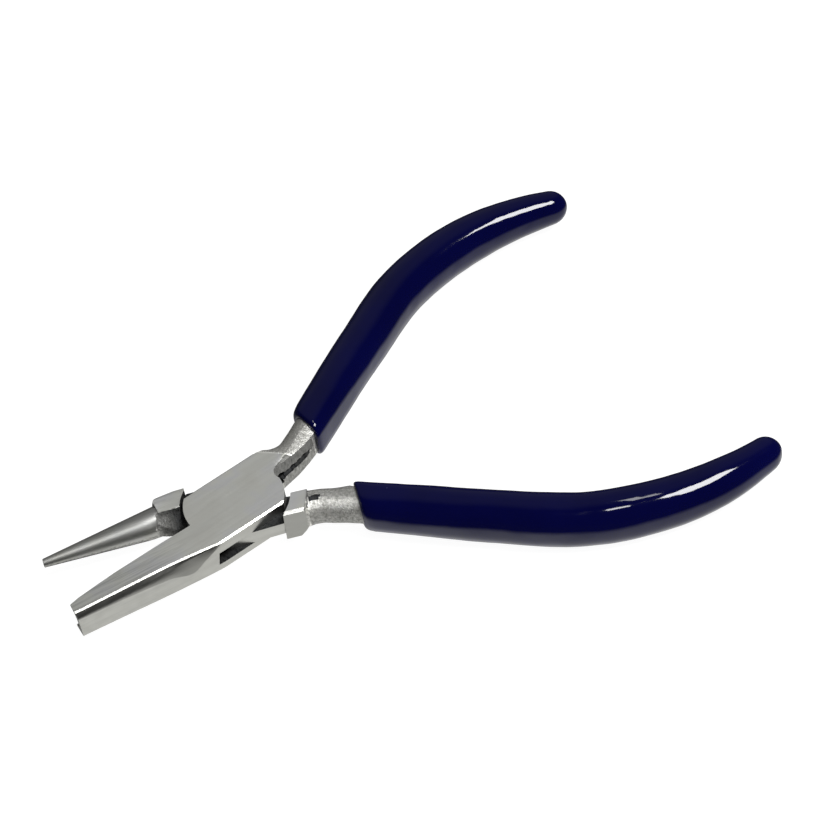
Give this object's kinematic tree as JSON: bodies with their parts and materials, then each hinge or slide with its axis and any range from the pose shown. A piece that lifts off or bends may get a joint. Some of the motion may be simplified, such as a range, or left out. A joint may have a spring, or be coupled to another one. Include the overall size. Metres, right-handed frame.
{
  "type": "round and hollow jaw pliers",
  "caption": "Small box joint pliers with one round tapered jaw, one hollow jaw and curved dipped vinyl grips, for bending and looping wire.",
  "frame": {"origin": "centre of the pivot pin's lower end, flush with the underside of the box joint", "axes": "+X from the pivot towards the handles, half way between them; +Y towards the handle of the box half; +Z along the pivot, up"},
  "size_m": [0.1231, 0.0906, 0.0102],
  "materials": {
    "ground_steel": "satin ground flats, bright bevels, blasted tangs",
    "pin_steel": "satin, ground flush",
    "dipped_vinyl": "thick glossy dip"
  },
  "bodies": {
    "box_side": {"box_half": "ground_steel", "pivot_pin": "pin_steel", "box_half_grip": "dipped_vinyl"},
    "lap_side": {"lap_half": "ground_steel", "lap_half_grip": "dipped_vinyl"}
  },
  "joints": [
    {"name": "pivot", "type": "hinge", "parent": "box_side", "child": "lap_side", "pos_m": [0, 0, 0], "axis": [0, 0, 1], "range_deg": [-18, 25]}
  ]
}
